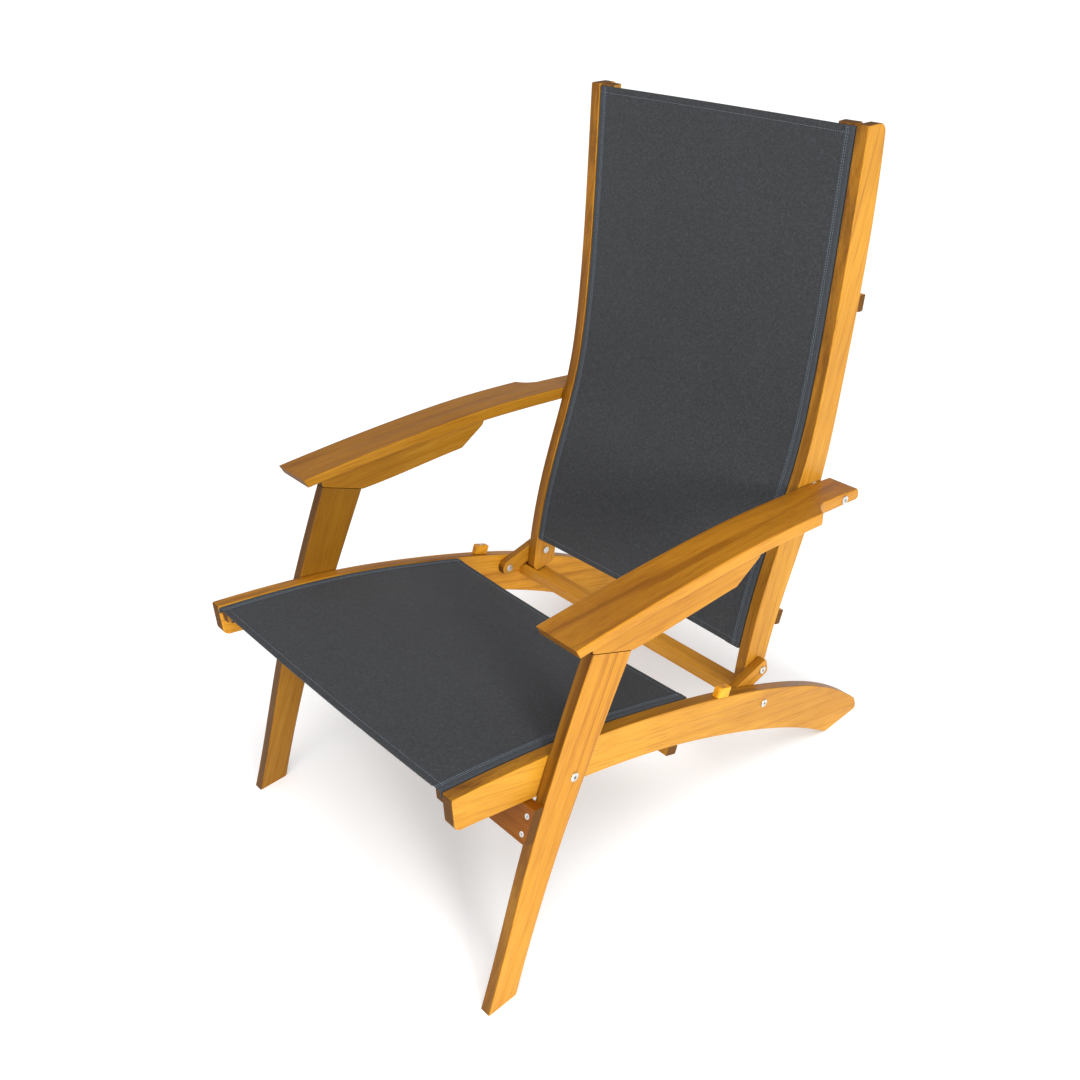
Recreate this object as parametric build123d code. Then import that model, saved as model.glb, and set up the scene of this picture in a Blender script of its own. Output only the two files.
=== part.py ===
"""Folding wooden deck chair with arms, a fabric seat sling and a fabric back sling.

Frame: millimetres. +X runs across the chair to the sitter's left, +Y to the back of the chair,
+Z up. The origin is on the floor, in the middle of the chair's length and width.
Side views are drawn as (y, z) with y measured back from the toe of the legs; MID_Y moves
them to the origin.
"""
import os

from build123d import *

os.makedirs("parts", exist_ok=True)

# ---- driving dimensions -------------------------------------------------------------------
MID_Y = 438.25          # from the legs' toes back to the middle of the chair's length

LEG_OUT = 310.0         # centre plane to the outer face of a leg
LEG_T = 18.0            # thickness of a leg board and of the bracket above it
RAIL_OUT = 290.5        # centre plane to the outer face of a seat rail
RAIL_T = 20.0
LINK_OUT = 270.0
LINK_T = 14.0
STILE_OUT = 255.1       # centre plane to the outer face of a back stile
STILE_T = 18.8
ARM_OUT = 332.0         # centre plane to the outer edge of an arm
ARM_IN = 259.0
ARM_TAIL_OUT = 311.0    # outer edge of the arm's narrow rear end

LEG_PIVOT = (170.5, 329.3)      # leg bolt in the seat rail
ARM_PIVOT = (732.0, 508.0)      # arm bolt in the back stile
LINK_TOP = (619.5, 227.3)       # link bolt in the back stile
LINK_FOOT = (546.1, 212.3)      # link bolt in the seat rail

BOLT_R = 3.0            # M6 furniture bolts
BOLT_HEAD_R = 6.8
BOLT_HEAD_T = 2.2
HEX_SOCKET_R = 2.3
RUN_GAP = 0.05          # radial clearance of a bolt that turns in its hole
SCREW_R = 1.8
SCREW_HEAD_R = 3.9
SCREW_HEAD_T = 2.4
FACE_GAP = 0.4          # between faces that slide past each other

CLOTH_T = 1.8           # sling fabric
SLOT_W = 2.3            # slot between a frame member and its sling batten
SEAT_BATTEN_W = 16.0
SEAT_BATTEN_H = 20.0
BACK_BATTEN_W = 28.0
BACK_BATTEN_H = 17.0
SEAT_CLOTH = (-9.0, 438.0)      # y where the seat sling starts and ends
BACK_CLOTH = (262.0, 1025.0)    # z where the back sling starts and ends
WRAP_DEPTH = 24.0       # how far the cloth is turned down into its slot

EDGE = 2.0              # rounding of sawn edges


# ---- side outlines, drawn as (y, z) -------------------------------------------------------
def at(y, z):
    return (y - MID_Y, z)


def curve(*points):
    return Spline([at(*p) for p in points])


def line(start, end):
    return Line(at(*start), at(*end))


def chain(*points):
    return [line(a, b) for a, b in zip(points, points[1:])]


RAIL_TOP = curve((-9.5, 398.5), (110, 377), (228, 348.5), (350, 310), (479, 262.5),
                 (600, 210), (741, 135.5), (880, 27))
RAIL_BOTTOM = curve((795, 0), (671, 86.5), (519, 169), (380, 231.5), (213, 288), (15, 340))
STILE_FRONT = curve((590, 204), (598, 250), (617, 325), (648, 412), (686, 502), (712, 575),
                    (729, 650), (745, 755), (760, 890), (773, 1027))
STILE_REAR = curve((642, 205), (665, 287), (706, 388), (737, 465), (761, 545), (779, 645),
                   (798, 775), (811, 900), (815, 1003))
ARM_TOP = curve((160, 550.5), (300, 551.5), (410, 549.5), (500, 545.5), (590, 537.5),
                (680, 526.5), (768, 513))
ARM_UNDER = curve((167, 535.5), (260, 535), (388, 531), (502, 525), (606, 514.5), (699, 503),
                  (772, 494))


# ---- solid helpers ------------------------------------------------------------------------
def board(edges, x_low, x_high):
    """A flat board: its closed side outline run from x_low to x_high across the chair."""
    outline = Plane.YZ.offset(x_low) * Face(Wire(edges))
    return extrude(outline, amount=x_high - x_low, dir=(1, 0, 0))


def corner_edge(solid, y, z):
    """The edge across the chair that is nearest to a side-view point."""
    target = Vector(0, y - MID_Y, z)

    def distance(edge):
        middle = edge.position_at(0.5)
        return (Vector(0, middle.Y, middle.Z) - target).length

    return min(solid.edges().filter_by(Axis.X), key=distance)


def round_corners(solid, corners):
    """Round the corners (y, z, radius) of a board's side outline."""
    for y, z, radius in corners:
        solid = fillet(corner_edge(solid, y, z), radius)
    return solid


def soften(solid, radius=EDGE):
    """Ease the long edges of a board, all round both of its flat sides."""
    sides = solid.faces().filter_by(Axis.X)
    low, high = sides.sort_by(Axis.X)[0], sides.sort_by(Axis.X)[-1]
    return fillet(low.edges() + high.edges(), radius)


def trimmed(edge, low, high, axis):
    """The stretch of an outline curve between two values of y (axis 0) or z (axis 1)."""
    offset = MID_Y if axis == 0 else 0.0

    def place(target):
        start, end = 0.0, 1.0
        rising = tuple(edge @ 1)[axis] > tuple(edge @ 0)[axis]
        for _ in range(40):
            middle = (start + end) / 2
            beyond = tuple(edge @ middle)[axis] + offset > target
            if beyond == rising:
                end = middle
            else:
                start = middle
        return (start + end) / 2

    first, last = sorted((place(low), place(high)))
    return edge.trim(first, last)


def strip(edge, near, far, x_low, x_high):
    """A strip that follows an outline curve, between two shifts (dy, dz) away from it."""
    one = edge.moved(Location((near[0], near[1], 0)))
    two = edge.moved(Location((far[0], far[1], 0)))
    ends = [Line(one @ 0, two @ 0), Line(one @ 1, two @ 1)]
    return board([one, ends[1], two, ends[0]], x_low, x_high)


def cross_plane(x, y, z, out):
    """A plane square to the chair's width, with its normal along +X or -X."""
    return Plane(origin=(x, y - MID_Y, z), x_dir=(0, 1, 0), z_dir=(out, 0, 0))


def bolt_at(plane, length):
    """A flat-headed hexagon-socket bolt: the underside of its head lies on the plane."""
    base = (Align.CENTER, Align.CENTER, Align.MIN)
    head = Cylinder(BOLT_HEAD_R, BOLT_HEAD_T, align=base)
    head = fillet(head.edges().sort_by(Axis.Z)[-1], 0.9)
    socket = extrude(Plane.XY.offset(0.4) * RegularPolygon(HEX_SOCKET_R, 6), BOLT_HEAD_T)
    shank = Cylinder(BOLT_R, length, align=(Align.CENTER, Align.CENTER, Align.MAX))
    return plane * (head - socket + shank)


def screw_room(plane, length):
    """The room that a wood screw takes up: a flat head flush with the plane, and a shank."""
    top = (Align.CENTER, Align.CENTER, Align.MAX)
    head = Cylinder(SCREW_HEAD_R, SCREW_HEAD_T, align=top)
    return plane * (head + Cylinder(SCREW_R, length, align=top))


def screw_at(plane, length):
    """A cross-recess wood screw with its head flush with the plane."""
    bar = Box(4.2, 0.9, 2.4)
    cross = bar + bar.rotate(Axis.Z, 90)
    return screw_room(plane, length) - plane * cross


def hole(plane, radius, length):
    """The tool for a round hole that starts at the plane and runs back from it."""
    return plane * Cylinder(radius, length, align=(Align.CENTER, Align.CENTER, Align.MAX))


def ring(plane, inner, outer, thick):
    base = (Align.CENTER, Align.CENTER, Align.MIN)
    return plane * (Cylinder(outer, thick, align=base) - Cylinder(inner, thick, align=base))


def other_side(shape):
    """The same piece on the sitter's right."""
    return mirror(shape, Plane.YZ)


def screws_at(spots):
    return [screw_at(*spot) for spot in spots]


def rooms_at(spots, mirrored=False):
    """Tools that clear the wood for the screws at these spots, and for their mirror twins."""
    rooms = [screw_room(*spot) for spot in spots]
    return rooms + [other_side(room) for room in rooms] if mirrored else rooms


def both_sides(solids):
    """One node for identical fasteners: those of the sitter's left and their mirror twins."""
    twins = [other_side(solid) for solid in solids]
    return Compound([part for shape in solids + twins for part in shape.solids()])


def slope_of(edge, value, axis):
    """Point and forward direction of an outline curve where y (axis 0) or z (axis 1) is given."""
    piece = trimmed(edge, value, value + 1.0, axis)
    start = min((piece @ 0, piece @ 1), key=lambda p: tuple(p)[axis])
    end = max((piece @ 0, piece @ 1), key=lambda p: tuple(p)[axis])
    return start, (end - start).normalized()


def on_curve(edge, value, axis, x=0.0):
    """A plane on an outline curve: its normal points up (axis 0) or back (axis 1) off the curve."""
    point, along = slope_of(edge, value, axis)
    if axis == 0:
        normal = (0, -along.Y, along.X)
    else:
        normal = (0, along.Y, -along.X)
    return Plane(origin=(x, point.X, point.Y), x_dir=(1, 0, 0), z_dir=normal)


# ---- seat frame ---------------------------------------------------------------------------
def make_rail():
    front = [line((-9.5, 398.5), (-9.5, 345)), line((-9.5, 345), (15, 340))]
    heel = [line((795, 0), (886, 0)), line((886, 0), (886, 12)), line((886, 12), (880, 27))]
    rail = board([RAIL_TOP, *front, RAIL_BOTTOM, *heel], RAIL_OUT - RAIL_T, RAIL_OUT)
    rail = round_corners(rail, [(-9.5, 345, 14.0), (-9.5, 398.5, 3.0), (883, 20, 5.0)])
    return soften(rail)


def make_rear_crossbar():
    """Rabbeted bar between the rails; the stiles' feet stand on its ledge."""
    outline = chain((582, 176), (622, 176), (622, 189), (589, 189), (589, 200), (582, 200),
                    (582, 176))
    half = RAIL_OUT - RAIL_T
    bar = board(outline, -half, half)
    return round_corners(bar, [(582, 200, 2.0), (589, 200, 2.0), (622, 189, 2.0),
                               (622, 176, 2.0), (582, 176, 2.0)])


def make_under_crossbar(rail):
    """Flat strip screwed up against the undersides of the rails."""
    place = on_curve(RAIL_BOTTOM, 388.0, 0)
    bar = place * Box(2 * (RAIL_OUT - 1.0), 22.0, 15.0, align=(Align.CENTER, Align.CENTER, Align.MAX))
    bar = fillet(bar.edges().filter_by(Axis.X), EDGE)
    return bar - rail - other_side(rail)


def make_stop_block():
    """Bumper block on the outer half of a rail's top edge."""
    place = on_curve(RAIL_TOP, 499.5, 0, RAIL_OUT - 6.0)
    block = Box(11.5, 29.0, 16.0, align=(Align.CENTER, Align.CENTER, Align.MIN))
    block = fillet(block.edges().filter_by(Axis.Z).sort_by(Axis.X)[-2:], 4.0)
    return place * fillet(block.faces().sort_by(Axis.Z)[-1].edges(), 1.2)


rail = make_rail()
rear_crossbar = make_rear_crossbar()
under_crossbar = make_under_crossbar(rail)
stop_block = make_stop_block()
seat_curve = trimmed(RAIL_TOP, SEAT_CLOTH[0], SEAT_CLOTH[1], 0)
batten_curve = trimmed(RAIL_TOP, SEAT_CLOTH[0] + 3.0, SEAT_CLOTH[1] + 4.0, 0)
slot_in = RAIL_OUT - RAIL_T - SLOT_W

seat_batten = strip(batten_curve, (0, -CLOTH_T - 0.2), (0, -CLOTH_T - SEAT_BATTEN_H),
                    slot_in - SEAT_BATTEN_W, slot_in)
seat_batten = soften(seat_batten, 3.0)

seat_sling = strip(seat_curve, (0, 0), (0, -CLOTH_T), -slot_in - 0.2, slot_in + 0.2)
seat_wrap = strip(seat_curve, (0, 0), (0, -WRAP_DEPTH), slot_in + 0.2, slot_in + 0.2 + CLOTH_T)
seat_sling = seat_sling + seat_wrap + other_side(seat_wrap)

# fasteners of the seat frame
crossbar_bolt = bolt_at(cross_plane(RAIL_OUT, 602, 182.5, 1), 55.0)
stop_screw_spots = [(on_curve(RAIL_TOP, 501.0, 0, RAIL_OUT - 6.0).offset(16.0), 36.0)]
under_face = on_curve(RAIL_BOTTOM, 388.0, 0, RAIL_OUT - RAIL_T / 2).offset(-15.0)
under_face = Plane(origin=under_face.origin, x_dir=(1, 0, 0), z_dir=-under_face.z_dir)
under_screw_spots = [(under_face, 38.0)]
batten_screw_spots = []
for y in (40.0, 215.0, 390.0):
    spot = on_curve(RAIL_TOP, y, 0).origin
    place = cross_plane(slot_in - SEAT_BATTEN_W, spot.Y + MID_Y, spot.Z - 12.5, -1)
    batten_screw_spots.append((place, 32.0))

# ---- legs ---------------------------------------------------------------------------------
STRETCHER_T = 16.5
STRETCHER_FOOT = (79.5, 270.0)
STRETCHER_TOP = (101.0, 317.4)


def leg_edge(leg, x, y, z):
    """The long edge of the leg that passes nearest to a point on one of its flat sides."""
    spot = Vector(x, y - MID_Y, z)
    long_edges = leg.edges().filter_by(lambda edge: edge.length > 400)
    return min(long_edges, key=lambda edge: (edge @ 0.5 - spot).length)


def make_leg():
    front = curve((0, 0), (42, 112), (90, 245), (144, 371), (209, 506))
    rear = curve((280, 474.5), (210, 348), (145, 222), (96, 111), (53.5, 0))
    edges = [front, line((209, 506), (280, 474.5)), rear, line((53.5, 0), (0, 0))]
    leg = board(edges, LEG_OUT - LEG_T, LEG_OUT)
    leg = fillet([leg_edge(leg, x, 145, 222) for x in (LEG_OUT - LEG_T, LEG_OUT)], 6.0)
    return fillet([leg_edge(leg, x, 90, 245) for x in (LEG_OUT - LEG_T, LEG_OUT)], EDGE)


def make_stretcher(leg):
    """Board across the front of the legs; the rails rest on its top edge."""
    foot, top = Vector(*STRETCHER_FOOT), Vector(*STRETCHER_TOP)
    up = (top - foot).normalized()
    back = Vector(up.Y, -up.X)
    rear_foot = foot + back * STRETCHER_T
    rear_top = top + back * STRETCHER_T + up * 3.2
    corners = [(p.X, p.Y) for p in (foot, top, rear_top, rear_foot, foot)]
    plank = board(chain(*corners), -LEG_OUT, LEG_OUT)
    plank = fillet(plank.edges().filter_by(Axis.X), 1.5)
    return plank - leg - other_side(leg)


leg = make_leg()
stretcher = make_stretcher(leg)
leg_bolt = bolt_at(cross_plane(LEG_OUT, *LEG_PIVOT, 1), 34.0)
leg_washer = ring(cross_plane(RAIL_OUT + FACE_GAP, *LEG_PIVOT, 1), BOLT_R, 9.0,
                  LEG_OUT - LEG_T - RAIL_OUT - FACE_GAP)


def stretcher_screw_spots():
    """Two screws through each end of the stretcher into the leg behind it."""
    foot, top = Vector(*STRETCHER_FOOT), Vector(*STRETCHER_TOP)
    up = (top - foot).normalized()
    spots = []
    for share in (0.24, 0.74):
        spot = foot + (top - foot) * share
        place = Plane(origin=(LEG_OUT - LEG_T / 2, spot.X - MID_Y, spot.Y), x_dir=(1, 0, 0),
                      z_dir=(0, -up.Y, up.X))
        spots.append((place, 42.0))
    return spots


# ---- links --------------------------------------------------------------------------------
LINK_HALF = 15.0        # half the depth of a link, and the radius of its round foot
LINK_TIP = 13.5         # how far a link's squared-off upper end passes its bolt


def make_link():
    low, high = Vector(*at(*LINK_FOOT)), Vector(*at(*LINK_TOP))
    along = (high - low).normalized()
    side = Vector(-along.Y, along.X) * LINK_HALF
    upper, lower = high + side + along * LINK_TIP, high - side + along * LINK_TIP
    edges = [Line(low + side, upper), Line(upper, lower), Line(lower, low - side),
             ThreePointArc(low - side, low - along * LINK_HALF, low + side)]
    link = board(edges, LINK_OUT - LINK_T, LINK_OUT)
    link = round_corners(link, [(corner.X + MID_Y, corner.Y, 7.0) for corner in (upper, lower)])
    return soften(link, 1.2)


link = make_link()
rail_link_bolt = bolt_at(cross_plane(LINK_OUT - LINK_T, *LINK_FOOT, -1), LINK_T + 17.0)
stile_in = STILE_OUT - STILE_T
stile_link_bolt = bolt_at(cross_plane(LINK_OUT, *LINK_TOP, 1), LINK_OUT - stile_in + FACE_GAP)
cap_nut_plane = cross_plane(stile_in - FACE_GAP, *LINK_TOP, -1)
cap_nut = cap_nut_plane * Cylinder(BOLT_HEAD_R, BOLT_HEAD_T,
                                   align=(Align.CENTER, Align.CENTER, Align.MIN))
cap_nut = fillet(cap_nut.edges().sort_by(Axis.X)[0], 0.9)


# ---- backrest -----------------------------------------------------------------------------
SLAT_H = 25.0
SLAT_T = 13.0
UPPER_SLAT_Z = 780.0
LOWER_SLAT_Z = 297.0


def make_stile():
    top = [line((773, 1027), (815, 1025)), line((815, 1025), (815, 1003))]
    foot = chain((642, 205), (641, 194.5), (592, 190.5), (590, 204))
    stile = board([STILE_FRONT, *top, STILE_REAR, *foot], STILE_OUT - STILE_T, STILE_OUT)
    stile = round_corners(stile, [(815, 1025, 14.0), (773, 1027, 2.5), (641, 194.5, 9.0),
                                  (592, 190.5, 9.0)])
    return soften(stile)


def make_slat(height, stile):
    """Cross slat on the stiles' rear edges."""
    place = on_curve(STILE_REAR, height, 1)
    slat = place * Box(2 * STILE_OUT, SLAT_H, SLAT_T, align=(Align.CENTER, Align.CENTER, Align.MIN))
    slat = slat.moved(Location(place.z_dir * -0.4))
    slat = fillet(slat.edges().filter_by(Axis.X), 2.5)
    return slat - stile - other_side(stile)


def slat_screw_spot(height):
    place = on_curve(STILE_REAR, height, 1, STILE_OUT - STILE_T / 2)
    return place.offset(SLAT_T - 0.4), 34.0


stile = make_stile()
upper_slat = make_slat(UPPER_SLAT_Z, stile)
lower_slat = make_slat(LOWER_SLAT_Z, stile)
slat_spots = [slat_screw_spot(UPPER_SLAT_Z), slat_screw_spot(LOWER_SLAT_Z)]

back_curve = trimmed(STILE_FRONT, BACK_CLOTH[0], BACK_CLOTH[1], 1)
back_batten_curve = trimmed(STILE_FRONT, BACK_CLOTH[0] - 2.0, BACK_CLOTH[1] + 1.5, 1)
back_slot_in = stile_in - SLOT_W
back_batten = strip(back_batten_curve, (CLOTH_T + 0.2, 0), (CLOTH_T + BACK_BATTEN_H, 0),
                    back_slot_in - BACK_BATTEN_W, back_slot_in)
back_batten = fillet(back_batten.edges().filter_by(lambda edge: edge.length > 300), 2.5)
back_sling = strip(back_curve, (0, 0), (CLOTH_T, 0), -back_slot_in - 0.2, back_slot_in + 0.2)
back_wrap = strip(back_curve, (0, 0), (WRAP_DEPTH - 2.0, 0), back_slot_in + 0.2,
                  back_slot_in + 0.2 + CLOTH_T)
back_sling = back_sling + back_wrap + other_side(back_wrap)
back_batten_spots = []
for z in (290.0, 480.0, 720.0, 980.0):
    spot = on_curve(STILE_FRONT, z, 1).origin
    place = cross_plane(back_slot_in - BACK_BATTEN_W, spot.Y + MID_Y + 11.0, spot.Z, -1)
    back_batten_spots.append((place, 44.0))

# ---- arms ---------------------------------------------------------------------------------
BRACKET_OUT = LEG_OUT
BRACKET_T = LEG_T
ARM_EDGE = 2.6          # rounding of an arm's long edges
NOTCH_START = 648.0     # y where the arm starts to narrow
NOTCH_END = 690.0


def make_arm():
    edges = [ARM_TOP, line((768, 513), (772, 494)), ARM_UNDER, line((167, 535.5), (160, 550.5))]
    arm = board(edges, ARM_IN, ARM_OUT)
    arm = round_corners(arm, [(768, 513, 6.0), (772, 494, 6.0)])
    arm = soften(arm, ARM_EDGE)
    width = ARM_OUT - ARM_TAIL_OUT
    far = 790.0
    corner = (ARM_TAIL_OUT, NOTCH_END - MID_Y)
    start = (ARM_OUT, NOTCH_START - MID_Y)
    bend = (ARM_TAIL_OUT + width * 0.22, NOTCH_END - 24.0 - MID_Y)
    outline = [ThreePointArc(start, bend, corner), Line(corner, (ARM_TAIL_OUT, far - MID_Y)),
               Line((ARM_TAIL_OUT, far - MID_Y), (ARM_OUT + 1, far - MID_Y)),
               Line((ARM_OUT + 1, far - MID_Y), (ARM_OUT + 1, NOTCH_START - MID_Y)),
               Line((ARM_OUT + 1, NOTCH_START - MID_Y), start)]
    notch = extrude(Face(Wire(outline)), amount=700.0, dir=(0, 0, 1))
    arm = arm - notch
    tail_top = [edge for edge in arm.edges()
                if abs(edge.center().X - ARM_TAIL_OUT) < 0.5 and edge.length > 60]
    return fillet(tail_top, ARM_EDGE)


def make_bracket(arm):
    """Board on edge under the arm; its front underside sits on the leg's square-cut top."""
    leg_front, leg_rear = Vector(209, 506), Vector(280, 474.5)
    along = (leg_rear - leg_front).normalized()
    lift = Vector(-along.Y, along.X) * FACE_GAP
    seat_front = leg_front + lift - along * 1.0
    seat_rear = leg_rear + lift + along * 1.0
    under = curve((seat_rear.X, seat_rear.Y), (320, 472.8), (400, 472.0), (487, 471.0))
    edges = [line((seat_front.X, seat_front.Y), (seat_rear.X, seat_rear.Y)), under,
             *chain((487, 471.0), (535, 497.5), (540, 505), (540, 540),
                    (seat_front.X, 545), (seat_front.X, seat_front.Y))]
    bracket = board(edges, BRACKET_OUT - BRACKET_T, BRACKET_OUT)
    bracket = round_corners(bracket, [(seat_front.X, seat_front.Y, 6.0)])
    return soften(bracket, 1.6) - arm


arm = make_arm()
bracket = make_bracket(arm)
arm_bolt = bolt_at(cross_plane(ARM_TAIL_OUT, *ARM_PIVOT, 1), ARM_TAIL_OUT - stile_in - 4.0)
arm_washer = ring(cross_plane(STILE_OUT + FACE_GAP, *ARM_PIVOT, 1), BOLT_R, 9.0,
                  ARM_IN - STILE_OUT - FACE_GAP)
bracket_spots = []
for y in (320.0, 455.0):
    place = Plane(origin=(BRACKET_OUT - BRACKET_T / 2, y - MID_Y, 472.9), z_dir=(0, 0, -1))
    bracket_spots.append((place, 70.0))


# ---- holes --------------------------------------------------------------------------------
def fixed_hole(x, pivot, length):
    return hole(cross_plane(x, *pivot, 1), BOLT_R, length)


def running_hole(x, pivot, length):
    return hole(cross_plane(x, *pivot, 1), BOLT_R + RUN_GAP, length)


def cut(shape, tools):
    for tool in tools:
        shape = shape - tool
    return shape


stretcher_spots = stretcher_screw_spots()
leg = cut(leg, [fixed_hole(LEG_OUT, LEG_PIVOT, LEG_T), *rooms_at(stretcher_spots)])
stretcher = cut(stretcher, rooms_at(stretcher_spots, mirrored=True))
link = cut(link, [fixed_hole(LINK_OUT, LINK_FOOT, LINK_T), fixed_hole(LINK_OUT, LINK_TOP, LINK_T)])
rail_in = RAIL_OUT - RAIL_T
rail = cut(rail, [running_hole(RAIL_OUT, LEG_PIVOT, 16.5),
                  running_hole(rail_in + 18.0, LINK_FOOT, 18.0), crossbar_bolt,
                  *rooms_at(stop_screw_spots + under_screw_spots + batten_screw_spots)])
stop_block = cut(stop_block - rail, rooms_at(stop_screw_spots))
under_crossbar = cut(under_crossbar, rooms_at(under_screw_spots, mirrored=True))
rear_crossbar = cut(rear_crossbar, [crossbar_bolt, other_side(crossbar_bolt)])
seat_batten = cut(seat_batten, rooms_at(batten_screw_spots))
seat_sling = cut(seat_sling, rooms_at(batten_screw_spots, mirrored=True))
stile = cut(stile, [running_hole(STILE_OUT, LINK_TOP, STILE_T),
                    running_hole(STILE_OUT, ARM_PIVOT, STILE_T - 3.5),
                    *rooms_at(slat_spots + back_batten_spots)])
upper_slat = cut(upper_slat, rooms_at(slat_spots, mirrored=True))
lower_slat = cut(lower_slat, rooms_at(slat_spots, mirrored=True))
back_batten = cut(back_batten, rooms_at(back_batten_spots))
back_sling = cut(back_sling, rooms_at(back_batten_spots, mirrored=True))
arm = cut(arm, [fixed_hole(ARM_TAIL_OUT, ARM_PIVOT, ARM_TAIL_OUT - ARM_IN),
                *rooms_at(bracket_spots)])
bracket = cut(bracket, rooms_at(bracket_spots))
cap_nut = cap_nut - fixed_hole(stile_in, LINK_TOP, FACE_GAP + 0.01)

# ---- nodes --------------------------------------------------------------------------------
nodes = {
    "rear_crossbar": rear_crossbar,
    "under_seat_crossbar": under_crossbar,
    "seat_sling": seat_sling,
    "leg_stretcher": stretcher,
    "back_slat_upper": upper_slat,
    "back_slat_lower": lower_slat,
    "back_sling": back_sling,
    "crossbar_bolts": both_sides([crossbar_bolt]),
    "stop_block_screws": both_sides(screws_at(stop_screw_spots)),
    "under_crossbar_screws": both_sides(screws_at(under_screw_spots)),
    "seat_batten_screws": both_sides(screws_at(batten_screw_spots)),
    "stretcher_screws": both_sides(screws_at(stretcher_spots)),
    "leg_pivot_bolts": both_sides([leg_bolt]),
    "leg_washers": both_sides([leg_washer]),
    "link_rail_bolts": both_sides([rail_link_bolt]),
    "link_stile_bolts": both_sides([stile_link_bolt]),
    "link_cap_nuts": both_sides([cap_nut]),
    "slat_screws": both_sides(screws_at(slat_spots)),
    "back_batten_screws": both_sides(screws_at(back_batten_spots)),
    "arm_bolts": both_sides([arm_bolt]),
    "arm_washers": both_sides([arm_washer]),
    "bracket_screws": both_sides(screws_at(bracket_spots)),
}
paired = {
    "rail": rail,
    "seat_batten": seat_batten,
    "stop_block": stop_block,
    "leg": leg,
    "link": link,
    "stile": stile,
    "back_batten": back_batten,
    "arm": arm,
    "arm_bracket": bracket,
}
for name, shape in paired.items():
    nodes[name + "_left"] = shape
    nodes[name + "_right"] = other_side(shape)

for name, shape in nodes.items():
    export_step(shape, f"parts/{name}.step")
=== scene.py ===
"""Looks of a folding wooden deck chair: oiled honey-coloured wood, charcoal slings, zinc hardware."""

import math

import bmesh
import bpy
from mathutils import Matrix, Vector, noise
from mathutils.bvhtree import BVHTree

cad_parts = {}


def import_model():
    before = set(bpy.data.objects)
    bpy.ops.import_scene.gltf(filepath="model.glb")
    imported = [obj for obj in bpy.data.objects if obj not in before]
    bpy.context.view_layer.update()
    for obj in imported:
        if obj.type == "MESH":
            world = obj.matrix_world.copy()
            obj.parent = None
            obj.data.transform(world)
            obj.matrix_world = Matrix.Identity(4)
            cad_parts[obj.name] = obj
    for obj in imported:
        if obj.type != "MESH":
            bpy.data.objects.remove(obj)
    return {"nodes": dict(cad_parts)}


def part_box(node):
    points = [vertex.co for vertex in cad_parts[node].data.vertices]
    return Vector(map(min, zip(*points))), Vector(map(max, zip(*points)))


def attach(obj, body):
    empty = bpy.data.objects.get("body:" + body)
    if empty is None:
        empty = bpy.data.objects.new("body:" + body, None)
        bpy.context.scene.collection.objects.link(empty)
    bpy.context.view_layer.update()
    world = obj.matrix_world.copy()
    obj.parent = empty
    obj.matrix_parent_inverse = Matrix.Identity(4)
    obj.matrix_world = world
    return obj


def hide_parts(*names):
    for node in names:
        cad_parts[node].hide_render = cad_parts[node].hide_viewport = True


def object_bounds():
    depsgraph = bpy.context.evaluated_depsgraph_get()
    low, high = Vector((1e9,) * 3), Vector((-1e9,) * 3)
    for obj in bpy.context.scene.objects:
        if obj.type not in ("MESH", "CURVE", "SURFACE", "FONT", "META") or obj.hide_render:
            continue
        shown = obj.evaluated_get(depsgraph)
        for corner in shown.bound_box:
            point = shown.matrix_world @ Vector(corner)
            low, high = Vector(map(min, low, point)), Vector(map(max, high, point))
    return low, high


MM = 0.001

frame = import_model()
cad_box = [list(corner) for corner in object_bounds()]
nodes = frame["nodes"]


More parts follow.
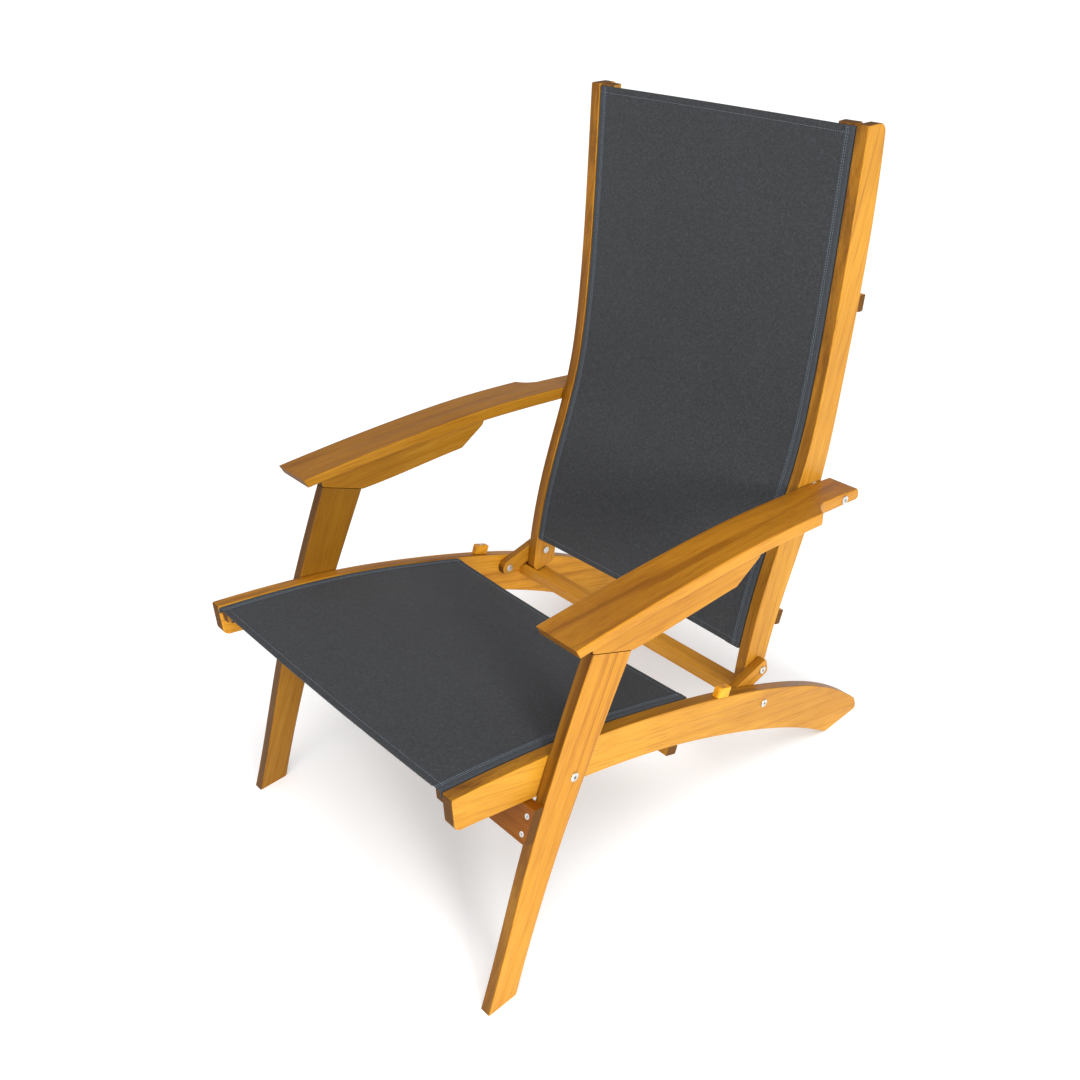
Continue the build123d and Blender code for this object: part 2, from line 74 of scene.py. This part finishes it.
# ---- node helpers -------------------------------------------------------------------------
class Shader:
    """A material under construction, with short calls for its nodes."""

    def __init__(self, name):
        self.material = bpy.data.materials.new(name)
        self.material.use_nodes = True
        self.tree = self.material.node_tree
        self.surface = self.tree.nodes["Principled BSDF"]

    def node(self, kind, **settings):
        made = self.tree.nodes.new(kind)
        for key, value in settings.items():
            setattr(made, key, value)
        return made

    def link(self, output, target):
        self.tree.links.new(output, target)

    def set(self, node, **values):
        for key, value in values.items():
            node.inputs[key.replace("_", " ")].default_value = value
        return node

    def object_coordinates(self):
        return self.node("ShaderNodeTexCoord").outputs["Object"]

    def mapped(self, vector, rotation=(0, 0, 0), scale=(1, 1, 1), location=(0, 0, 0)):
        made = self.node("ShaderNodeMapping")
        self.set(made, Rotation=rotation, Scale=scale, Location=location)
        self.link(vector, made.inputs["Vector"])
        return made.outputs["Vector"]

    def noise(self, vector, scale, detail=3.0, distortion=0.0, roughness=0.5):
        made = self.node("ShaderNodeTexNoise")
        self.set(made, Scale=scale, Detail=detail, Distortion=distortion, Roughness=roughness)
        self.link(vector, made.inputs["Vector"])
        return made.outputs["Fac"]

    def wave(self, vector, scale, direction, distortion=0.0, detail=2.0):
        made = self.node("ShaderNodeTexWave", wave_type="BANDS", bands_direction=direction)
        self.set(made, Scale=scale, Distortion=distortion, Detail=detail)
        self.link(vector, made.inputs["Vector"])
        return made.outputs["Fac"]

    def ramp(self, value, *stops):
        made = self.node("ShaderNodeValToRGB")
        elements = made.color_ramp.elements
        while len(elements) < len(stops):
            elements.new(0.5)
        for element, (position, color) in zip(elements, stops):
            element.position = position
            element.color = (*color, 1.0) if len(color) == 3 else color
        self.link(value, made.inputs["Fac"])
        return made.outputs["Color"]

    def spread(self, value, low, high, to_low=0.0, to_high=1.0):
        made = self.node("ShaderNodeMapRange")
        self.set(made, From_Min=low, From_Max=high, To_Min=to_low, To_Max=to_high)
        self.link(value, made.inputs["Value"])
        return made.outputs["Result"]

    def math(self, operation, one, two):
        made = self.node("ShaderNodeMath", operation=operation)
        for socket, value in zip(made.inputs, (one, two)):
            if isinstance(value, (int, float)):
                socket.default_value = value
            else:
                self.link(value, socket)
        return made.outputs["Value"]

    def mix(self, share, one, two, blend="MIX"):
        made = self.node("ShaderNodeMix", data_type="RGBA", blend_type=blend)
        for socket, value in ((made.inputs[0], share), (made.inputs[6], one), (made.inputs[7], two)):
            if isinstance(value, (int, float)):
                socket.default_value = value
            elif isinstance(value, tuple):
                socket.default_value = (*value, 1.0)
            else:
                self.link(value, socket)
        return made.outputs[2]

    def bump(self, *layers):
        """Layers of (height, strength, distance), stacked."""
        last = None
        for height, strength, distance in layers:
            made = self.node("ShaderNodeBump")
            self.set(made, Strength=strength, Distance=distance)
            self.link(height, made.inputs["Height"])
            if last:
                self.link(last, made.inputs["Normal"])
            last = made.outputs["Normal"]
        self.link(last, self.surface.inputs["Normal"])


# ---- wood ---------------------------------------------------------------------------------
WOOD_DARK = (0.34, 0.115, 0.006)
WOOD_MID = (0.62, 0.280, 0.021)
WOOD_LIGHT = (0.76, 0.405, 0.058)
END_DARK = (0.055, 0.021, 0.004)
END_LIGHT = (0.15, 0.062, 0.009)
EDGE_DARK = (0.30, 0.235, 0.175)
EDGE_MEAN = (0.64, 0.58, 0.52)
EDGE_LIGHT = (0.76, 0.69, 0.61)


def wood(name, angle, tint, seed=0.0, calm=0.0, edge_tone=1.0, across=False):
    """Oiled wood with its grain along a board: angle is the board's slope in side view, calm
    from 0 to 1 evens out the figure, and edge_tone scales the painted shade on the narrow edges."""
    s = Shader(name)
    tint = tint if isinstance(tint, tuple) else (tint, tint, tint)
    spin = (0, 0, math.radians(90)) if across else (-math.radians(angle), 0, 0)
    place = (seed * 1.7, seed * 3.1, seed * 2.3)
    board = s.mapped(s.object_coordinates(), rotation=spin, location=place)
    streaks = s.noise(s.mapped(board, scale=(1, 0.022, 1)), 70.0, 4.0, 0.5, 0.55)
    bands = s.noise(s.mapped(board, scale=(1, 0.08, 1)), 17.0, 2.0, 0.6)
    fibres = s.noise(s.mapped(board, scale=(1, 0.03, 1)), 620.0, 3.0, 0.2)
    rings = s.wave(s.mapped(board, scale=(1, 0.085, 1), rotation=(0.0, 0.55, 0.0)), 17.0, "Z", 5.0, 1.5)
    clouds = s.noise(s.mapped(board, scale=(1, 0.35, 1)), 9.0, 2.0, 0.4)
    figure = s.math("ADD", s.math("MULTIPLY", streaks, 0.40), s.math("MULTIPLY", rings, 0.08))
    figure = s.math("ADD", figure, s.math("MULTIPLY", bands, 0.52))
    color = s.ramp(figure, (0.30, WOOD_DARK), (0.43, WOOD_MID), (0.58, WOOD_MID), (0.74, WOOD_LIGHT))
    color = s.mix(calm * 0.7, color, WOOD_MID)
    growth = s.ramp(rings, (0.0, (0.62, 0.50, 0.40)), (0.10, (1.0, 1.0, 1.0)))
    color = s.mix(0.28, color, growth, "MULTIPLY")
    patches = s.ramp(clouds, (0.36, (0.80, 0.74, 0.66)), (0.60, (1.0, 1.0, 1.0)))
    color = s.mix(0.8, color, patches, "MULTIPLY")
    pores = s.ramp(fibres, (0.36, (0.66, 0.54, 0.42)), (0.50, (1.0, 1.0, 1.0)))
    color = s.mix(0.5, color, pores, "MULTIPLY")
    # the tint is the board's tone; on the right-hand (far) boards it also holds painted shade, and
    # painted light on the rail
    color = s.mix(1.0, color, tint, "MULTIPLY")
    normal = s.node("ShaderNodeTexCoord").outputs["Normal"]

    # painted shade: the narrow faces of a board (its tops and fronts) are drawn darker than its wide
    # sides, standing in for the shade they lie in under the side key light
    if not across:
        sideways = s.node("ShaderNodeSeparateXYZ")
        s.link(normal, sideways.inputs[0])
        edge = s.spread(s.math("ABSOLUTE", sideways.outputs["X"], 0.0), 0.85, 0.35)
        painted_edge_shade = s.mix(calm, s.ramp(streaks, (0.38, EDGE_DARK), (0.60, EDGE_LIGHT)), EDGE_MEAN)
        painted_edge_shade = s.mix(1.0, painted_edge_shade, (edge_tone, edge_tone, edge_tone * 0.9), "MULTIPLY")
        color = s.mix(edge, color, s.mix(1.0, color, painted_edge_shade, "MULTIPLY"))

    # sawn ends are darker, with the growth rings showing as arcs
    slope = math.radians(angle)
    grain = (1, 0, 0) if across else (0, math.cos(slope), math.sin(slope))
    facing = s.node("ShaderNodeVectorMath", operation="DOT_PRODUCT")
    s.link(normal, facing.inputs[0])
    facing.inputs[1].default_value = grain
    end = s.spread(s.math("ABSOLUTE", facing.outputs["Value"], 0.0), 0.72, 0.94)
    arcs = s.wave(s.mapped(board, scale=(1, 0.2, 1)), 160.0, "Z", 3.0, 1.5)
    end_color = s.ramp(arcs, (0.2, END_DARK), (0.9, END_LIGHT))
    color = s.mix(s.math("MULTIPLY", end, 0.92), color, end_color)

    s.link(color, s.surface.inputs["Base Color"])
    gloss = s.spread(streaks, 0.3, 0.7, 0.34, 0.50)
    s.link(s.math("MAXIMUM", gloss, s.math("MULTIPLY", end, 0.8)), s.surface.inputs["Roughness"])
    s.surface.inputs["Specular IOR Level"].default_value = 0.17
    s.surface.inputs["Coat Weight"].default_value = 0.02
    s.surface.inputs["Coat Roughness"].default_value = 0.28
    s.bump((fibres, 0.22, 0.0005), (rings, 0.10, 0.0006))
    return s.material


# ---- metal and plastic --------------------------------------------------------------------
def zinc(name):
    s = Shader(name)
    place = s.object_coordinates()
    grey = s.noise(place, 900.0, 3.0)
    stain = s.noise(place, 140.0, 2.0)
    s.link(s.ramp(stain, (0.3, (0.50, 0.50, 0.48)), (0.7, (0.80, 0.80, 0.78))),
           s.surface.inputs["Base Color"])
    s.surface.inputs["Metallic"].default_value = 1.0
    s.link(s.spread(grey, 0.3, 0.7, 0.22, 0.42), s.surface.inputs["Roughness"])
    s.bump((grey, 0.12, 0.0002))
    return s.material


def nylon(name):
    s = Shader(name)
    grain = s.noise(s.object_coordinates(), 1200.0, 2.0)
    s.link(s.ramp(grain, (0.3, (0.50, 0.49, 0.46)), (0.7, (0.60, 0.59, 0.55))),
           s.surface.inputs["Base Color"])
    s.link(s.spread(grain, 0.3, 0.7, 0.45, 0.6), s.surface.inputs["Roughness"])
    s.bump((grain, 0.1, 0.0002))
    return s.material


# ---- cloth --------------------------------------------------------------------------------
def cloth(name, slope, edge):
    """Charcoal plain weave; slope turns the weave so that it lies along the sling, and the
    doubled strips near both sides (x past the edge) look a little bluer."""
    s = Shader(name)
    place = s.mapped(s.object_coordinates(), rotation=(-math.radians(slope), 0, 0))
    warp = s.wave(place, 260.0, "X", 0.25, 1.0)
    weft = s.wave(place, 260.0, "Y", 0.25, 1.0)
    weave = s.math("MULTIPLY", warp, weft)
    slubs = s.noise(s.mapped(place, scale=(1, 0.3, 1)), 640.0, 3.0)
    cross_slubs = s.noise(s.mapped(place, scale=(0.3, 1, 1)), 640.0, 3.0)
    dust = s.noise(place, 7.0, 3.0, 0.4)
    heather = s.math("ADD", s.math("MULTIPLY", slubs, 0.5), s.math("MULTIPLY", cross_slubs, 0.5))
    color = s.ramp(heather, (0.34, (0.029, 0.031, 0.034)), (0.50, (0.044, 0.046, 0.050)),
                   (0.64, (0.064, 0.070, 0.078)))
    gaps = s.ramp(weave, (0.0, (0.62, 0.62, 0.64)), (0.7, (1.0, 1.0, 1.0)))
    color = s.mix(0.5, color, gaps, "MULTIPLY")
    worn = s.ramp(dust, (0.3, (0.80, 0.80, 0.80)), (0.7, (1.0, 1.0, 1.0)))
    color = s.mix(0.35, color, worn, "MULTIPLY")
    across = s.node("ShaderNodeSeparateXYZ")
    s.link(s.object_coordinates(), across.inputs[0])
    strip = s.spread(s.math("ABSOLUTE", across.outputs["X"], 0.0), edge - 0.5 * MM, edge + 0.5 * MM)
    color = s.mix(s.math("MULTIPLY", strip, 0.35), color, (0.050, 0.066, 0.084))
    s.link(color, s.surface.inputs["Base Color"])
    s.link(s.spread(heather, 0.3, 0.7, 0.78, 0.92), s.surface.inputs["Roughness"])
    s.surface.inputs["Sheen Weight"].default_value = 0.06
    s.surface.inputs["Sheen Roughness"].default_value = 0.5
    s.surface.inputs["Specular IOR Level"].default_value = 0.3
    s.bump((weave, 0.55, 0.0005), (heather, 0.25, 0.0006))
    return s.material


def thread(name):
    s = Shader(name)
    twist = s.wave(s.mapped(s.object_coordinates(), rotation=(0.6, 0.4, 0.7)), 500.0, "X")
    s.link(s.ramp(twist, (0.2, (0.085, 0.105, 0.130)), (0.8, (0.19, 0.225, 0.26))),
           s.surface.inputs["Base Color"])
    s.link(s.spread(twist, 0.0, 1.0, 0.55, 0.75), s.surface.inputs["Roughness"])
    s.bump((twist, 0.3, 0.0002))
    return s.material


# ---- materials of the CAD nodes -----------------------------------------------------------
def dress(node, material):
    slots = nodes[node].material_slots
    if not slots:
        nodes[node].data.materials.append(material)
    for slot in nodes[node].material_slots:
        slot.material = material


# the right-hand tints paint light and shade on the far side of the chair: darker for most boards, whose
# far faces lie in shade, and lighter for the rail
SIDE_BOARDS = {     # board: slope in degrees, calm, tone of the painted edge shade, tint on the left, tint on the right
    "rail": (-19.0, 0.45, 0.88, (1.0, 1.05, 1.2), 1.12),
    "seat_batten": (-16.0, 0.0, 1.0, 0.7, 0.7),
    "leg": (64.0, 0.45, 0.66, 1.0, 0.58),
    "stile": (74.0, 0.4, 0.86, (0.97, 1.0, 1.05), 0.95),
    "back_batten": (76.0, 0.0, 1.0, 0.8, 0.8),
    "link": (11.5, 0.2, 0.9, 0.95, 0.8),
    "arm": (-3.0, 0.8, 1.06, 0.98, 0.76),
    "arm_bracket": (-2.0, 0.5, 1.0, 0.96, 0.8),
    "stop_block": (20.3, 0.4, 1.3, (1.5, 1.5, 1.0), (1.4, 1.4, 0.9)),
}
CROSS_BOARDS = {"rear_crossbar": 0.95, "under_seat_crossbar": 0.7, "leg_stretcher": (0.42, 0.295, 0.16),
                "back_slat_upper": 0.9, "back_slat_lower": 0.85}
seed = 0.0
for board, (slope, calm, edge_tone, *tints) in SIDE_BOARDS.items():
    for side, tint in zip(("left", "right"), tints):
        seed += 1.0
        dress(f"{board}_{side}", wood(f"wood_{board}_{side}", slope, tint, seed, calm, edge_tone))
for board, tint in CROSS_BOARDS.items():
    seed += 1.0
    dress(board, wood(f"wood_{board}", 0.0, tint, seed, across=True))

zinc_plate = zinc("zinc_plate")
white_nylon = nylon("white_nylon")
for part in nodes:
    if part.endswith(("bolts", "screws", "nuts")):
        dress(part, zinc_plate)
    elif part.endswith("washers"):
        dress(part, white_nylon)


# ---- slings -------------------------------------------------------------------------------
CLOTH = 1.2 * MM            # thickness of the fabric
SKIN = 0.3 * MM             # how far the fabric lies under the CAD solid's surface
SIDE_GAP = 0.35 * MM        # between a batten's side and the cloth turned down beside it
SAG = 3.5 * MM              # how far a taut sling hollows between its sides
TURN = 3.0 * MM             # radius of the bend over a batten's edge
HEM = 12.0 * MM             # depth of an end hem
SIDE_HEM = 15.0 * MM        # width of the doubled cloth along each side
HEM_STEP = 0.7 * MM         # how far the doubled cloth stands above the rest
BARE_END = 9.0 * MM         # the cloth isn't tucked under a batten this close to its ends
SEAM_OFFSETS = (9.0 * MM, 12.0 * MM)    # the two rows of side stitches, in from the edge
SEAM_MIDDLE = 10.5 * MM
END_SEAM = HEM * 0.8        # the row of end stitches, in from the end
STITCH_STEP = 3.6 * MM
STITCH_LONG = 2.5 * MM
STITCH_R = 0.42 * MM
# along one stitch: share of its length, share of its radius, how far it dips (in radii)
STITCH_SECTIONS = ((-0.5, 0.35, 1.0), (-0.3, 0.95, 0.25), (0.3, 0.95, 0.25), (0.5, 0.35, 1.0))


def outer_line(node, axis, count):
    """The sling's outer line in side view, read off the CAD solid and smoothed."""
    source = nodes[node]
    tree = BVHTree.FromObject(source, bpy.context.evaluated_depsgraph_get())
    low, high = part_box(node)
    edge = 0.4 * MM
    spots = []
    for step in range(count + 1):
        place = low[axis] + edge + (high[axis] - low[axis] - 2 * edge) * step / count
        if axis == 1:
            hit = tree.ray_cast(Vector((0, place, high[2] + 1)), Vector((0, 0, -1)))[0]
        else:
            hit = tree.ray_cast(Vector((0, low[1] - 1, place)), Vector((0, 1, 0)))[0]
        spots.append(hit)
    for _ in range(3):
        inner = [(a + b * 2 + c) / 4 for a, b, c in zip(spots, spots[1:], spots[2:])]
        spots = [spots[0], *inner, spots[-1]]
    return spots


def mirrored(half):
    return [(-x, deep) for x, deep in reversed(half[1:])] + half


class Sling:
    """A taut sling: a side-view line swept across the chair, turned down round two battens."""

    def __init__(self, node, axis, batten, wrap_depth, seed):
        self.line = outer_line(node, axis, 150)
        self.seed = seed
        low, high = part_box(batten)
        self.edge = max(abs(low[0]), abs(high[0])) + SIDE_GAP
        self.batten_w = high[0] - low[0]
        self.open_half = self.edge - self.batten_w - 1.0 * MM
        self.wrap_depth = wrap_depth
        self.length = sum((b - a).length for a, b in zip(self.line, self.line[1:]))

    def outward(self, row):
        before = self.line[max(row - 1, 0)]
        after = self.line[min(row + 1, len(self.line) - 1)]
        along = (after - before).normalized()
        return Vector((0, -along.z, along.y))

    def at(self, distance):
        """Point, along and outward directions at a distance from the line's start."""
        left = max(0.0, min(distance, self.length - 1e-6))
        for row, (a, b) in enumerate(zip(self.line, self.line[1:])):
            step = (b - a).length
            if left <= step:
                share = left / step
                out = self.outward(row).lerp(self.outward(row + 1), share).normalized()
                return a.lerp(b, share), (b - a).normalized(), out
            left -= step

    def hollow(self, x, distance):
        """How far the cloth lies below the line: its sag, and the faint ripples of taut canvas."""
        free = max(0.0, 1.0 - (abs(x) / self.open_half) ** 2)
        spot = Vector((x * 9.0, distance * 9.0, self.seed))
        ripple = noise.noise(spot) * 0.9 * MM
        fine = noise.noise(Vector((x * 16.0, distance * 46.0, self.seed + 4.0))) * 0.35 * MM
        ends = min(distance, self.length - distance)
        cup = math.exp(-ends / 0.05) * 0.8 * MM
        pucker = math.exp(-((abs(x) - self.edge + SEAM_MIDDLE) / (2.8 * MM)) ** 2)
        seam = (0.32 + 0.14 * math.sin(distance / STITCH_STEP * 1.7)) * pucker * MM
        hem_line = math.exp(-((ends - END_SEAM) / (1.6 * MM)) ** 2) * 0.35 * MM
        inside_hem = (self.edge - SIDE_HEM - abs(x)) / (0.8 * MM)
        raised = HEM_STEP * (1.0 - min(1.0, max(0.0, inside_hem)))
        return (SAG + ripple + fine + cup) * free + seam + hem_line - raised

    def point(self, x, distance, rise=0.0):
        base, _, out = self.at(distance)
        depth = CLOTH / 2 + SKIN + self.hollow(x, distance) - rise
        return base + Vector((x, 0, 0)) - out * depth

    def rows(self):
        """Distances along the sling, closer together where the hems are stitched."""
        step, margin, count = 0.8 * MM, 16.0 * MM, 96
        fine = [i * step for i in range(20)]
        middle = [margin + (self.length - 2 * margin) * i / count for i in range(count + 1)]
        return fine + middle + [self.length - d for d in reversed(fine)]

    def section(self):
        """Half of the cross-section: (x, extra depth) from the middle out and round the batten."""
        flat_end = self.edge - TURN
        inner = flat_end - 20.0 * MM
        xs = [inner * i / 34 for i in range(34)] + [inner + 1.0 * MM * i for i in range(21)]
        path = [(x, 0.0) for x in xs]
        for i in range(1, 7):
            turn = math.pi / 2 * i / 6
            path.append((flat_end + TURN * math.sin(turn), TURN * (1 - math.cos(turn))))
        down = self.wrap_depth
        for i in range(1, 7):
            path.append((self.edge, TURN + (down - 2 * TURN) * i / 6))
        for i in range(1, 7):
            turn = math.pi / 2 * i / 6
            path.append((self.edge - TURN * (1 - math.cos(turn)), down - TURN + TURN * math.sin(turn)))
        under = self.batten_w * 0.72
        for i in range(1, 6):
            path.append((self.edge - TURN - under * i / 5, down))
        return path

    def straight_section(self, half):
        """The same points left in a short flap beside the batten."""
        last = max(i for i, (x, _) in enumerate(half) if x >= self.edge)
        path, start, low = half[:last + 1], half[last][1], half[-1][1]
        rest = len(half) - len(path)
        path = path + [(self.edge, start + (low - start) * (i + 1) / rest) for i in range(rest)]
        return [(x, min(deep, TURN + (deep - TURN) * 0.3)) for x, deep in path]

    def build(self, name, material, stitch_material, body, node):
        half = self.section()
        section = mirrored(half)
        straight = mirrored(self.straight_section(half))
        distances = self.rows()
        mesh = bpy.data.meshes.new(name)
        vertices, faces = [], []
        for distance in distances:
            base, _, out = self.at(distance)
            from_end = min(distance, self.length - distance)
            wrapped = min(1.0, max(0.0, (from_end - BARE_END) / (4.0 * MM)))
            for place, (x, deep) in enumerate(section):
                straight_x, straight_deep = straight[place]
                x = straight_x + (x - straight_x) * wrapped
                deep = straight_deep + (deep - straight_deep) * wrapped
                inside = max(0.0, 1.0 - deep / TURN)
                depth = CLOTH / 2 + SKIN + deep + self.hollow(x, distance) * inside
                vertices.append(base + Vector((x, 0, 0)) - out * depth)
        wide = len(section)
        for row in range(len(distances) - 1):
            for column in range(wide - 1):
                first = row * wide + column
                faces.append((first, first + 1, first + wide + 1, first + wide))
        mesh.from_pydata([tuple(v) for v in vertices], [], faces)
        for polygon in mesh.polygons:
            polygon.use_smooth = True
        piece = bpy.data.objects.new(name, mesh)
        bpy.context.scene.collection.objects.link(piece)
        piece.data.materials.append(material)
        thick = piece.modifiers.new("thickness", "SOLIDIFY")
        thick.thickness = CLOTH
        thick.offset = 0.0
        hem = self.end_hems(name + "_hems", material)
        stitches = self.stitches(name + "_stitches", stitch_material)
        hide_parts(node)
        for part in (piece, hem, stitches):
            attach(part, body)

    def end_hems(self, name, material):
        """The folded-under layer of cloth at both ends of the sling."""
        mesh = bpy.data.meshes.new(name)
        bm = bmesh.new()
        reach = self.open_half
        columns = [reach * (i / 40 - 1) for i in range(81)]
        for start, inward in ((0.15 * MM, 1), (self.length - 0.15 * MM, -1)):
            grid = []
            for i in range(8):
                distance = start + inward * HEM * i / 7
                grid.append([bm.verts.new(self.point(x, distance, -CLOTH * 1.02)) for x in columns])
            for one, two in zip(grid, grid[1:]):
                for k in range(len(columns) - 1):
                    bm.faces.new((one[k], one[k + 1], two[k + 1], two[k]))
        bmesh.ops.recalc_face_normals(bm, faces=bm.faces)
        bm.to_mesh(mesh)
        bm.free()
        for polygon in mesh.polygons:
            polygon.use_smooth = True
        piece = bpy.data.objects.new(name, mesh)
        bpy.context.scene.collection.objects.link(piece)
        piece.data.materials.append(material)
        thick = piece.modifiers.new("thickness", "SOLIDIFY")
        thick.thickness = CLOTH * 0.95
        thick.offset = 0.0
        return piece

    def stitches(self, name, material):
        """Rows of lock stitches: two down each side and one across each end."""
        bm = bmesh.new()
        rise = CLOTH / 2 + STITCH_R * 0.35
        for offset in SEAM_OFFSETS:
            for side in (-1, 1):
                x = side * (self.edge - offset)
                for i in range(int(self.length / STITCH_STEP)):
                    distance = (i + 0.5) * STITCH_STEP
                    spot, along, out = self.at(distance)
                    self.add_stitch(bm, self.point(x, distance, rise), along, out)
        for distance in (END_SEAM, self.length - END_SEAM):
            _, _, out = self.at(distance)
            count = int(2 * (self.edge - 4.0 * MM) / STITCH_STEP)
            for i in range(count):
                x = (i - (count - 1) / 2) * STITCH_STEP
                self.add_stitch(bm, self.point(x, distance, rise), Vector((1, 0, 0)), out)
        mesh = bpy.data.meshes.new(name)
        bm.to_mesh(mesh)
        bm.free()
        for polygon in mesh.polygons:
            polygon.use_smooth = True
        piece = bpy.data.objects.new(name, mesh)
        bpy.context.scene.collection.objects.link(piece)
        piece.data.materials.append(material)
        return piece

    @staticmethod
    def add_stitch(bm, spot, along, out):
        """One stitch: a short round thread, thinner and lower at both ends."""
        aside = along.cross(out)
        rings = []
        for share, size, drop in STITCH_SECTIONS:
            middle = spot + along * STITCH_LONG * share - out * STITCH_R * drop
            radius = STITCH_R * size
            turns = [math.pi / 3 * i for i in range(6)]
            rings.append([bm.verts.new(middle + (aside * math.cos(a) + out * math.sin(a)) * radius)
                          for a in turns])
        for one, two in zip(rings, rings[1:]):
            for k in range(6):
                bm.faces.new((one[k], one[(k + 1) % 6], two[(k + 1) % 6], two[k]))
        bm.faces.new(rings[0][::-1])
        bm.faces.new(rings[-1])


sling_thread = thread("sling_thread")
seat = Sling("seat_sling", 1, "seat_batten_left", 23.0 * MM, 3.0)
seat_cloth = cloth("seat_cloth", -17.0, seat.edge - SIDE_HEM)
seat.build("seat_sling_cloth", seat_cloth, sling_thread, "seat_frame", "seat_sling")
back = Sling("back_sling", 2, "back_batten_left", 20.5 * MM, 8.0)
back_cloth = cloth("back_cloth", 76.0, back.edge - SIDE_HEM)
back.build("back_sling_cloth", back_cloth, sling_thread, "backrest", "back_sling")

# ---- stage, light and camera --------------------------------------------------------------
FLOOR_SIZE = 160.0
FLOOR_GLOW = 0.2            # lifts the shadows on the pale floor


def floor():
    bpy.ops.mesh.primitive_plane_add(size=FLOOR_SIZE, location=(0, 0, cad_box[0][2]))
    plane = bpy.context.object
    plane.name = "floor"
    s = Shader("pale_floor")
    grain = s.noise(s.object_coordinates(), 3.0, 2.0)
    s.link(s.ramp(grain, (0.3, (0.915, 0.915, 0.915)), (0.7, (0.925, 0.925, 0.925))),
           s.surface.inputs["Base Color"])
    s.surface.inputs["Roughness"].default_value = 0.9
    s.surface.inputs["Emission Color"].default_value = (1.0, 1.0, 1.0, 1.0)
    s.surface.inputs["Emission Strength"].default_value = FLOOR_GLOW
    plane.data.materials.append(s.material)


def area_light(name, place, target, size, power, color=(1, 1, 1)):
    data = bpy.data.lights.new(name, "AREA")
    data.shape = "DISK"
    data.size = size
    data.energy = power
    data.color = color
    lamp = bpy.data.objects.new(name, data)
    lamp.location = place
    lamp.rotation_euler = (Vector(target) - Vector(place)).to_track_quat("-Z", "Y").to_euler()
    bpy.context.scene.collection.objects.link(lamp)


def soft_sun(name, toward, power, angle):
    data = bpy.data.lights.new(name, "SUN")
    data.energy = power
    data.angle = angle
    lamp = bpy.data.objects.new(name, data)
    lamp.rotation_euler = Vector(toward).to_track_quat("Z", "Y").to_euler()
    bpy.context.scene.collection.objects.link(lamp)


CAMERA_PLACE = (1.09571, -0.99449, 1.36368)
CAMERA_ANGLES = (48.873, 32.105, -2.496)    # azimuth from the chair's front, elevation, roll
CAMERA_LENS = 37.55
CAMERA_SENSOR = 36.0


def camera():
    azimuth, elevation, roll = (math.radians(angle) for angle in CAMERA_ANGLES)
    back = Vector((math.sin(azimuth) * math.cos(elevation), -math.cos(azimuth) * math.cos(elevation),
                   math.sin(elevation)))
    right = Vector((0, 0, 1)).cross(back).normalized()
    up = back.cross(right)
    turned_right = right * math.cos(roll) + up * math.sin(roll)
    turned_up = up * math.cos(roll) - right * math.sin(roll)
    data = bpy.data.cameras.new("camera")
    data.sensor_width = CAMERA_SENSOR
    data.lens = CAMERA_LENS
    view = bpy.data.objects.new("camera", data)
    turn = Matrix((turned_right, turned_up, back)).transposed().to_4x4()
    view.matrix_world = Matrix.Translation(CAMERA_PLACE) @ turn
    bpy.context.scene.collection.objects.link(view)
    bpy.context.scene.camera = view


def world():
    sky = bpy.data.worlds.new("studio")
    sky.use_nodes = True
    background = sky.node_tree.nodes["Background"]
    background.inputs["Color"].default_value = (0.97, 0.98, 1.0, 1.0)
    background.inputs["Strength"].default_value = 0.62
    bpy.context.scene.world = sky


floor()
world()
middle = (0, 0, 0.45)
area_light("key", (3.0, -1.1, 1.45), middle, 0.9, 63.0, (1.0, 0.97, 0.92))
area_light("front", (0.2, -3.4, 1.6), middle, 2.0, 12.0)
soft_sun("top", (0.35, -0.2, 1.0), 1.35, 0.6)
camera()
bpy.context.scene.view_settings.view_transform = "Standard"
